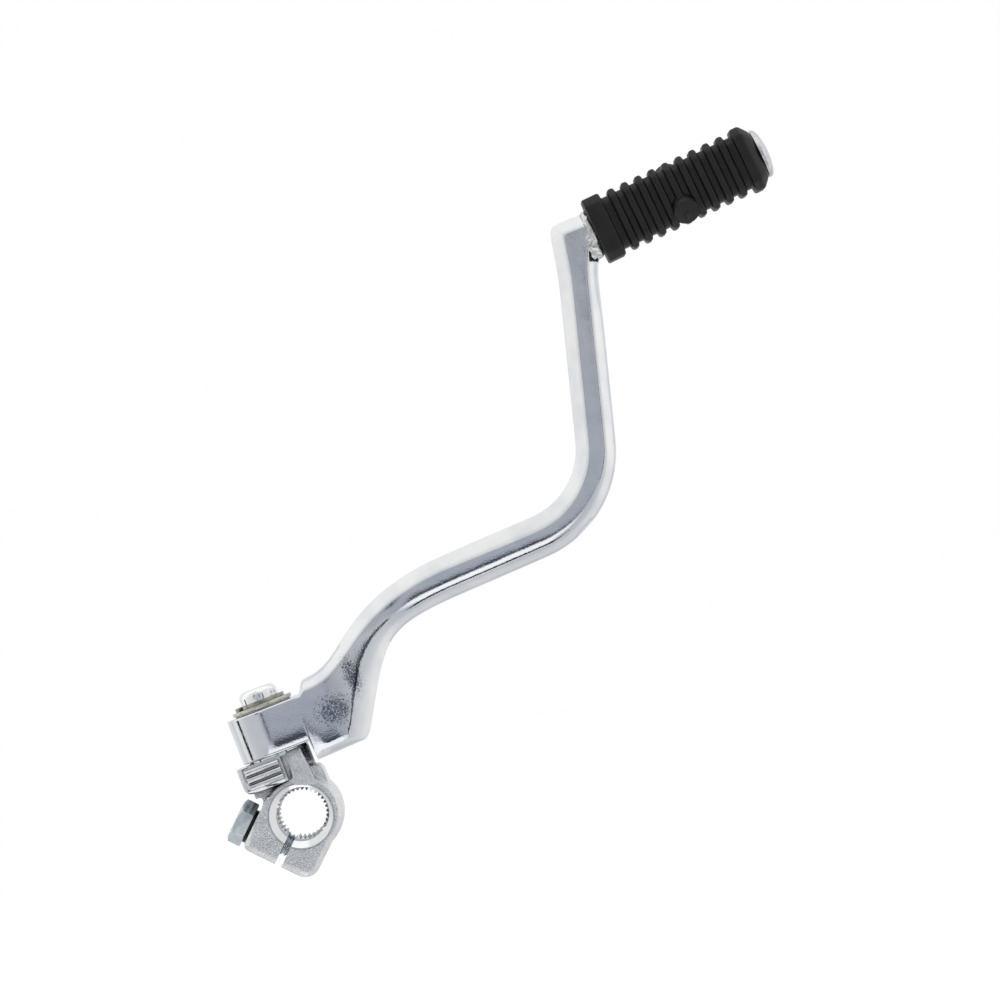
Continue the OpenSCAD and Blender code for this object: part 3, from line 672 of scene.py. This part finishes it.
# The eye: a half turn of upright sections that ends tangent to the web
sections = []
for turn in [3] + list(range(9, 90, 9)):
    a = math.radians(turn)
    sections.append(eye_section(-EYE_R * math.cos(a), EYE_R * math.sin(a)))
for x in (0, 3, 6, 8.5, SKIRT_X - 0.5, SKIRT_X - 0.1):
    sections.append(eye_section(x, EYE_R))
# The skirt hangs down beside the knuckle's seat, and its underside has a narrow flank
for x, low in ((SKIRT_X + 0.1, EYE_LOW - 0.5), (SKIRT_X + 0.3, 17.5), (SKIRT_X + 0.5, SKIRT_Z + 1.2),
               (SKIRT_X + 0.7, SKIRT_Z + 0.1)):
    low_flank = EYE_EDGE + 0.15 * max(0, 15.6 - low)
    soft = SKIRT_FLAT_Z - low - low_flank
    edge = EYE_R - EYE_EDGE - SKIRT_FALL * soft
    sections.append(plain_section(Vector((x, EYE_TOP)), Vector((x, low)), EYE_R, EYE_EDGE, low_flank, edge,
                                  0.5, soft, SKIRT_FALL))
# and farther out its upper edge rises into the web's
for up_x, up_z, up_flank, x, flank in ((11.6, 0, 0.45, 11.5, 1.3), (12.4, 0.1, 0.6, 12.4, 2.1),
                                       (13.0, 0.7, 1.0, 13.2, 2.4), (13.7, 2.1, 1.8, 14.2, 2.5),
                                       (14.4, 3.5, 2.6, 15.1, 2.6)):
    up, low = Vector((up_x, EYE_TOP + up_z)), Vector((x, SKIRT_Z + 0.15))
    soft = mix(SKIRT_FLAT_Z - low.y - flank, 3.2, ease((x - SKIRT_X) / 5.5))
    sections.append(section(up, low, up - Vector((0, up_flank)), low + Vector((0, flank)), EYE_R,
                            EYE_R - SKIRT_FALL * soft - 1.4 * flank, 0.8, soft, SKIRT_FALL))
# The web: its two edges are smooth curves from the skirt to the middle stretch
web_end = BEND_AT - heading(MID_SLOPE) * MID_LEN
web_up_end = web_end + heading(MID_SLOPE + 90) * MID_HALF
web_low_end = web_end - heading(MID_SLOPE + 90) * MID_HALF
web_up_start = Vector((EYE_R + 2.9, EYE_TOP + 4.1))
skirt_corner = Vector((SKIRT_FAR, SKIRT_Z + 0.7))
# Each curve is its start, its two handles and its end
web_up = [web_up_start, web_up_start + Vector((15.7, 0)), web_up_end - heading(3.5) * 38, web_up_end]
web_low = [skirt_corner, skirt_corner + heading(59) * 31.2, web_low_end - heading(2.9) * 27.2, web_low_end]
for i in range(37):
    t = i / 36
    up = bezier(web_up, t)
    half_t = mix(EYE_R, ARM_HALF_T, ease((t - 0.09) / 0.78))
    if t < SKIRT_SHARE:
        low = mix(Vector((SKIRT_X + 5.5, SKIRT_Z + 0.2)), skirt_corner, t / SKIRT_SHARE)
        low_in = mix(Vector((SKIRT_X + 5.5, SKIRT_Z + 2.7)), Vector((23.8, SKIRT_Z + 3.2)), t / SKIRT_SHARE)
    else:
        share = (t - SKIRT_SHARE) / (1 - SKIRT_SHARE)
        low = bezier(web_low, share)
        before, after = bezier(web_low, max(0, share - 0.01)), bezier(web_low, min(1, share + 0.01))
        way_on = (after - before).normalized()
        inward = Vector((-way_on.y, way_on.x))
        low_in = low + inward * mix(4.9, 2.7, ease(share / 0.8))
    across = (low - up).normalized()
    sections.append(section(up, low, up + across * mix(3.2, 4.3, t), low_in, half_t,
                            max(half_t - 4.6, half_t * 0.3), mix(1.4, 1.0, t),
                            mix(3.2, 4.0, ease(t / 0.6)), mix(SKIRT_FALL, 0.055, t)))
# The bend and the rising stretch
bend_turn = RISE_SLOPE - MID_SLOPE
bend_start = BEND_AT - heading(MID_SLOPE) * BEND_R * math.tan(math.radians(bend_turn / 2))
bend_centre = bend_start + heading(MID_SLOPE + 90) * BEND_R
for i in range(1, 4):
    sections.append(beam(mix(web_end, bend_start, i / 4), MID_SLOPE, MID_HALF,
                         mix(4.3, MID_FLANK_UP, i / 3), MID_FLANK_LOW, 1.0, 4.0))
for i in range(19):
    k = i / 18
    angle = MID_SLOPE + bend_turn * k
    sections.append(beam(bend_centre + heading(angle - 90) * BEND_R, angle, mix(MID_HALF, RISE_HALF, k),
                         mix(MID_FLANK_UP, RISE_FLANK_UP, k), mix(MID_FLANK_LOW, RISE_FLANK_LOW, k),
                         1.0, mix(4.0, 1.0, k)))
mitre = crossing(BEND_AT, RISE_SLOPE, PEDAL_AT, PEDAL_SLOPE)
rise_start = bend_centre + heading(RISE_SLOPE - 90) * BEND_R
for k in (0.25, 0.5, 0.75, 0.86):
    sections.append(beam(mix(rise_start, mitre, k), RISE_SLOPE, RISE_HALF,
                         RISE_FLANK_UP, RISE_FLANK_LOW, 1.0, 1.0))
mitre_turn = (RISE_SLOPE - PEDAL_SLOPE) / 2
mitre_half = STUB_HALF / math.cos(math.radians(mitre_turn))
for slope, along, tilt, share in (
        (RISE_SLOPE, -0.6, -9, 0.985), (PEDAL_SLOPE, 0, 0, 1.0), (PEDAL_SLOPE, 0.6, 9, 0.985)):
    sections.append(beam(mitre + heading(slope) * along, RISE_SLOPE - (mitre_turn + tilt), mitre_half * share,
                         4.6, 3.6, 1.0, 1.0))
for s in (STUB_END - 0.5, STUB_END):
    sections.append(beam(PEDAL_AT + heading(PEDAL_SLOPE) * s, PEDAL_SLOPE, STUB_HALF, 4.0, 3.2, 1.0, 1.0))


def start_disc(places):
    """A flat start with its corners at these places in mm, left in edit mode.

    Its mesh comes with its ring of corners, which are good only as long as the mesh is kept.
    """
    bpy.ops.object.select_all(action="DESELECT")
    bpy.ops.mesh.primitive_circle_add(vertices=len(places), radius=1 * MM, fill_type="NGON")
    piece = bpy.context.object
    bpy.ops.object.mode_set(mode="EDIT")
    bpy.ops.mesh.select_all(action="SELECT")
    shape = bmesh.from_edit_mesh(piece.data)
    ring = sorted(shape.verts, key=lambda corner: corner.index)
    for corner, place in zip(ring, places):
        corner.co = Vector(place) * MM
    bmesh.update_edit_mesh(piece.data)
    return piece, shape, ring


# Drawn out station by station from a twelve-sided start
arm, shape, ring = start_disc(sections[0])
for places in sections[1:]:
    was = [corner.co.copy() for corner in ring]
    bmesh.update_edit_mesh(arm.data)
    bpy.ops.mesh.extrude_region_move(TRANSFORM_OT_translate={"value": (0, 0, 0)})
    shape = bmesh.from_edit_mesh(arm.data)
    drawn = [v for v in shape.verts if v.select]
    ring = [min(drawn, key=lambda v: (v.co - p).length) for p in was]
    for corner, place in zip(ring, places):
        corner.co = Vector(place) * MM
bmesh.update_edit_mesh(arm.data)
bpy.ops.mesh.select_all(action="SELECT")
bpy.ops.mesh.normals_make_consistent(inside=False)
# The outer edges of the flanks and both ends stay tight when the skin is rounded, and the
# edges between flank and flat less so, of which the lower ones are tighter under the skirt
place_of = {tuple(round(c, 3) for c in corner): j for places in sections for j, corner in enumerate(places)}
for corners_kept, tightness, under_skirt in (
        ((0, 5, 6, 11), EDGE_TIGHT, False), ((4, 7), 0.4, False), ((1, 10), 0.12, False),
        ((1, 10), 0.33, True)):

    def kept_tight(edge, a, b):
        first, second = (place_of.get(tuple(round(c / MM, 3) for c in v.co), -1) for v in edge.verts)
        along = first == second and first in corners_kept
        if under_skirt:
            along = along and all(SKIRT_X < p.x < SKIRT_FAR - 3 and p.z < 19 for p in (a, b))
        at_end = any(len(face.verts) == 12 for face in edge.link_faces)
        return along or (at_end and tightness == EDGE_TIGHT)

    pick_edges(arm, kept_tight)
    bpy.ops.transform.edge_crease(value=tightness)
bpy.ops.object.mode_set(mode="OBJECT")
finish_with(arm, "SUBSURF", levels=2, render_levels=2)

# The bore for the journal, the stop's pocket, the ball's two pockets and the pin's socket
reamed, socket_r = JOURNAL_R + PLAY, PIN_R + PLAY
carve(arm, turned("reamer", [(reamed, SEAT_Z - 1), (reamed, EYE_TOP + 1)]))
on_pedal = Matrix.Translation(Vector((PEDAL_AT.x, 0, PEDAL_AT.y)) * MM) @ about("Y", 90 - PEDAL_SLOPE)
carve(arm, turned("drill", [(socket_r, STUB_END - SOCKET), (socket_r, STUB_END + 1)], 64, on_pedal))
pocket = pipe("pocket", JOURNAL_R - 0.2, SEAT_R, SEAT_Z - 1, SEAT_Z + TONGUE_H + 0.1)
carve(pocket, carve(beyond(POCKET_FROM), beyond(POCKET_TO), "INTERSECT"))
carve(arm, pocket)
for a in (180, 90):
    ball_x, ball_y = BALL_AT * MM * math.cos(math.radians(a)), BALL_AT * MM * math.sin(math.radians(a))
    bpy.ops.object.select_all(action="DESELECT")
    bpy.ops.mesh.primitive_uv_sphere_add(segments=32, ring_count=16, radius=BALL_POCKET_R * MM,
                                         location=(ball_x, ball_y, BALL_POCKET_Z * MM))
    carve(arm, settle(bpy.context.object, "ball_pocket"))
smooth(settle(arm, "kick_arm_forging"), 32)
# Chrome over a polished forging mirrors well, with a faint orange peel and slow waves
polished_chrome = metal(
    "chrome_on_polished_forging", "#DADCE0", (0.06, 0.11), 0.017, 0.5, 0.09, 8.0, "#D0D3D9")
# On the web the wheel left the forging's pits, which the chrome shows as dark specks
tree = polished_chrome.node_tree
skin = tree.nodes["Principled BSDF"].inputs["Base Color"]
place = add_node(tree, "TexCoord").outputs["Object"]
pitted = None
for centre, reach in (((21.6, -11.5, 27.2), (8.5, 9.0, 7.5)), ((30.5, -10.0, 35.5), (4.2, 9.0, 9.0))):
    off = add_node(tree, "VectorMath", {
        0: place, 1: Vector([1 / (r * MM) for r in reach]),
        2: Vector([-c / r for c, r in zip(centre, reach)])}, operation="MULTIPLY_ADD")
    off = add_node(tree, "VectorMath", {0: off}, operation="LENGTH").outputs["Value"]
    here = add_node(tree, "MapRange", {"Value": off, "From Min": 1.0, "From Max": 0.35})
    pitted = here if pitted is None else add_node(tree, "Math", {0: pitted, 1: here}, operation="MAXIMUM")
specks = add_node(tree, "TexNoise", {"Vector": place, "Scale": 1 / (0.42 * MM), "Detail": 3.0})
specks = add_node(tree, "Math", {0: pitted, 1: 0.3, 2: specks}, operation="MULTIPLY_ADD")
inside = add_node(tree, "Math", {0: pitted, 1: 0.02}, operation="GREATER_THAN")
specks = add_node(tree, "Math", {0: specks, 1: inside}, operation="MULTIPLY")
specks = add_node(tree, "MapRange", {"Value": specks, "From Min": 0.66, "From Max": 0.84, "To Max": 0.9})
shown = add_node(tree, "MixRGB", {
    "Fac": specks, "Color1": skin.links[0].from_socket, "Color2": colour("#555D6E")})
tree.links.new(shown.outputs[0], skin)
coat(arm, polished_chrome)
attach(arm, "arm")
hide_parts("kick_arm")

# Washers and retaining ring
# A wave washer takes up the eye's play, a plain washer lies on it, and a sprung retaining ring
# in the journal's groove holds both. They are bare steel, stamped out and yellowed by oil.

WAVE_R, WAVE_LOW, WAVE_TOP = 9.4, 35.65, 36.15
WASHER_R, WASHER_TOP = 9.95, 37.25
CLIP_R, CLIP_LOW, CLIP_TOP = 7.9, 37.3, 38.5
CLIP_GAP, CLIP_GAP_HALF, EAR_TURN, EAR_R, EYELET_R = 214, 1.15, 19.5, 1.35, 0.65

stamped = metal("oiled_stamped_steel", "#D2D1C6", (0.20, 0.30), 0.008, 0.4, 0.02, 3.0, "#BFBEB0")
sprung = metal("oiled_spring_steel", "#B5B4AA", (0.22, 0.32), 0.008, 0.4, 0.02, 3.0, "#97968C")

for name, node, outer, low, top, material, slot_name in (
        ("wave_washer_ring", "pivot_wave_washer", WAVE_R, WAVE_LOW, WAVE_TOP, sprung, "spring_steel"),
        ("plain_washer_ring", "pivot_washer", WASHER_R, WAVE_TOP, WASHER_TOP, stamped, "washer_steel")):
    piece = pipe(name, JOURNAL_R + 0.1, outer, low, top)
    ease_edges(piece, 0.12, 40)
    smooth(coat(piece, material), 30)
    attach(piece, "knuckle")
    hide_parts(node)

clip = pipe("retaining_ring", GROOVE_R + 0.05, CLIP_R, CLIP_LOW, CLIP_TOP)
for a in (-EAR_TURN, EAR_TURN):
    ear_at = about("Z", CLIP_GAP + a) @ Matrix.Translation(((CLIP_R - 0.5) * MM, 0, 0))
    carve(clip, turned("ear", [(EAR_R, CLIP_LOW), (EAR_R, CLIP_TOP)], 32, ear_at), "UNION")
    carve(clip, turned("eyelet", [(EYELET_R, CLIP_LOW - 1), (EYELET_R, CLIP_TOP + 1)], 24, ear_at))
carve(clip, block((4, -CLIP_GAP_HALF, CLIP_LOW - 1), (12, CLIP_GAP_HALF, CLIP_TOP + 1), (0, 0, CLIP_GAP)))
ease_edges(clip, 0.1, 40)
smooth(coat(settle(clip, "retaining_ring"), sprung), 30)
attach(clip, "knuckle")
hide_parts("pivot_circlip")

# The pedal's pin
# A turned steel pin pressed and welded into the arm's stub. Its domed head keeps the rubber on,
# and it is chrome plated with the arm.

HEAD_R, HEAD_H, HEAD_RIM, RUBBER_HALF = 8.15, 3.2, 0.9, 29.0
domed = [(HEAD_R * math.cos(math.radians(a)),
          RUBBER_HALF + HEAD_RIM + (HEAD_H - HEAD_RIM) * math.sin(math.radians(a))) for a in range(0, 88, 8)]
pin = turned("pedal_pin_turned", [
    (PIN_R - 0.4, STUB_END - SOCKET + 0.3), (PIN_R, STUB_END - SOCKET + 0.7), (PIN_R, RUBBER_HALF),
    (HEAD_R - 0.3, RUBBER_HALF), (HEAD_R, RUBBER_HALF + 0.3)] + domed, 96, on_pedal)
smooth(pin, 40)
coat(pin, metal("chrome_on_rough_pin_head", "#CFD0D2", (0.14, 0.24), 0.16, 0.9, 0.05, 2.5, "#BEC0C4"))
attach(pin, "arm")
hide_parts("pedal_pin")

# The weld
# A hand-laid bead between the pin and the stub, with a thicker run at the front and below. It
# was plated with the arm, so its lumps shine like dull chrome.

BEAD_R, BEAD_THICK, BEAD_UP = 6.2, 1.6, 1.3
bpy.ops.object.select_all(action="DESELECT")
bpy.ops.mesh.primitive_torus_add(major_segments=96, minor_segments=20, major_radius=BEAD_R * MM,
                                 minor_radius=BEAD_THICK * MM)
weld = bpy.context.object
weld.matrix_world = on_pedal @ Matrix.Translation((0, 0, (STUB_END + BEAD_UP) * MM))
# Where the rod was moved slowly, at the front and below, the bead stands in lumps
lumps = []
for place, radius in (
        ((151.0, -4.4, 139.9), 1.9), ((151.7, -4.6, 137.4), 2.4), ((153.1, -4.6, 135.2), 2.5),
        ((150.8, -4.7, 135.2), 2.0), ((153.4, -3.8, 133.4), 2.2), ((151.5, -3.9, 133.0), 2.0),
        ((150.3, -3.2, 132.0), 1.5), ((150.4, -1.0, 132.6), 2.0), ((152.8, -0.4, 132.6), 2.2),
        ((150.9, 3.0, 133.2), 2.1), ((152.2, 4.2, 135.6), 2.2)):
    bpy.ops.object.select_all(action="DESELECT")
    bpy.ops.mesh.primitive_ico_sphere_add(subdivisions=3, radius=radius * MM, location=Vector(place) * MM)
    lumps.append(bpy.context.object)
only(weld, *lumps)
bpy.ops.object.join()
bpy.ops.object.transform_apply(location=True, rotation=True, scale=True)
weld.name = weld.data.name = "pedal_weld_bead"
finish_with(weld, "REMESH", mode="VOXEL", voxel_size=0.28 * MM)
ripples = bpy.data.textures.new("weld_ripples", "CLOUDS")
ripples.noise_scale = 1.3 * MM
finish_with(weld, "DISPLACE", texture=ripples, texture_coords="GLOBAL", strength=0.5 * MM, mid_level=0.55)
finish_with(weld, "SMOOTH", factor=0.5, iterations=4)
only(weld)
bpy.ops.object.shade_smooth()
coat(weld, metal("plated_weld_bead", "#D8D9DA", (0.14, 0.24), 0.08, 0.5, 0.12, 1.6, "#B6B6B4"))
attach(weld, "arm")
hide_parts("pedal_weld")

# The pedal's rubber
# A sleeve of black rubber, moulded in one piece and pushed over the pin: nine round ribs between
# two flanges, square in section with its corners cut, and a round pad on two of its faces.

FLANGE_HALF, FLANGE_LEN = 10.8, 6.0
RIB_HALF, CORE_HALF, RIBS, CORNER_CUT = 10.35, 8.8, 9, 2.8
RIB_PITCH = 4.78
PAD_R = 4.4


def sleeve_corners(half, s):
    """Eight corners of the sleeve's section at a distance along the pin."""
    c = CORNER_CUT * half / FLANGE_HALF
    flat = [(half, half - c), (half - c, half), (c - half, half), (-half, half - c),
            (-half, c - half), (c - half, -half), (half - c, -half), (half, c - half)]
    return [(x, y, s) for x, y in flat]


inner = FLANGE_LEN - RUBBER_HALF
stations = [(FLANGE_HALF - 0.5, -RUBBER_HALF), (FLANGE_HALF - 0.12, 0.15 - RUBBER_HALF),
            (FLANGE_HALF, 0.5 - RUBBER_HALF), (FLANGE_HALF, inner - 0.7), (FLANGE_HALF - 0.25, inner - 0.2),
            (FLANGE_HALF - 0.7, inner), (CORE_HALF + 0.2, inner + 0.15), (CORE_HALF, inner + 0.45)]
# One rib, as (half, distance from its middle), and then its other side
rib = [(CORE_HALF, -1.5), (CORE_HALF + 0.25, -1.32), (RIB_HALF - 0.75, -1.2), (RIB_HALF - 0.3, -0.98),
       (RIB_HALF - 0.05, -0.6)]
rib += [(RIB_HALF, 0)] + [(half, -s) for half, s in reversed(rib)]
for i in range(RIBS):
    stations += [(half, (i - (RIBS - 1) / 2) * RIB_PITCH + s) for half, s in rib]
# The free end is drawn in round the pin's head
stations += [(half, -s) for half, s in reversed(stations[3:8])]
stations += [(FLANGE_HALF, RUBBER_HALF - 3.2), (FLANGE_HALF - 0.35, RUBBER_HALF - 2.6),
             (FLANGE_HALF - 2.4, RUBBER_HALF - 0.75), (FLANGE_HALF - 3.2, RUBBER_HALF - 0.2),
             (FLANGE_HALF - 4.0, RUBBER_HALF)]
rubber = start_disc(sleeve_corners(*stations[0]))[0]
draw_out(stations)
bpy.ops.mesh.select_all(action="SELECT")
bpy.ops.mesh.normals_make_consistent(inside=False)
# The eight long corners are eased as a mould's are
pick_edges(rubber, lambda edge, a, b: abs(a.z - b.z) > 0.001)
bpy.ops.mesh.bevel(offset=0.75 * MM, segments=4, affect="EDGES")
bpy.ops.object.mode_set(mode="OBJECT")
for a in (-54, 126):
    carve(rubber, turned("pad", [
        (PAD_R, 3), (PAD_R, RIB_HALF + 1.5), (PAD_R - 0.15, RIB_HALF + 1.75), (PAD_R - 0.5, RIB_HALF + 1.9)],
        48, about("Z", a) @ about("Y", 90)), "UNION")
carve(rubber, turned("core", [(PIN_R, -40), (PIN_R, 40)], 64))
rubber.matrix_world = on_pedal
smooth(settle(rubber, "pedal_rubber_sleeve"), 35)

# Moulded rubber is matt with a faint bloom on what faces outward and a fine eroded grain
black_rubber = bpy.data.materials.new("moulded_black_rubber")
black_rubber.use_nodes = True
tree = black_rubber.node_tree
shader = tree.nodes["Principled BSDF"]
place = add_node(tree, "TexCoord").outputs["Object"]
grain = add_node(tree, "TexNoise", {"Vector": place, "Scale": 1 / (0.35 * MM), "Detail": 3.0})
bloom = add_node(tree, "TexNoise", {"Vector": place, "Scale": 1 / (6 * MM), "Detail": 4.0})
tone = add_node(tree, "ValToRGB", {"Fac": bloom}, stops=[(0.35, "#060607"), (0.7, "#101012")])
tree.links.new(tone.outputs["Color"], shader.inputs["Base Color"])
worn = add_node(tree, "MapRange", {
    "Value": bloom, "From Min": 0.3, "From Max": 0.7, "To Min": 0.42, "To Max": 0.58})
tree.links.new(worn.outputs["Result"], shader.inputs["Roughness"])
skin = add_node(tree, "Bump", {"Height": grain, "Distance": 0.02 * MM})
tree.links.new(skin.outputs["Normal"], shader.inputs["Normal"])
shader.inputs["IOR"].default_value = 1.52
shader.inputs["Specular IOR Level"].default_value = 0.36
coat(rubber, black_rubber)
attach(rubber, "arm")
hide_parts("pedal_rubber")
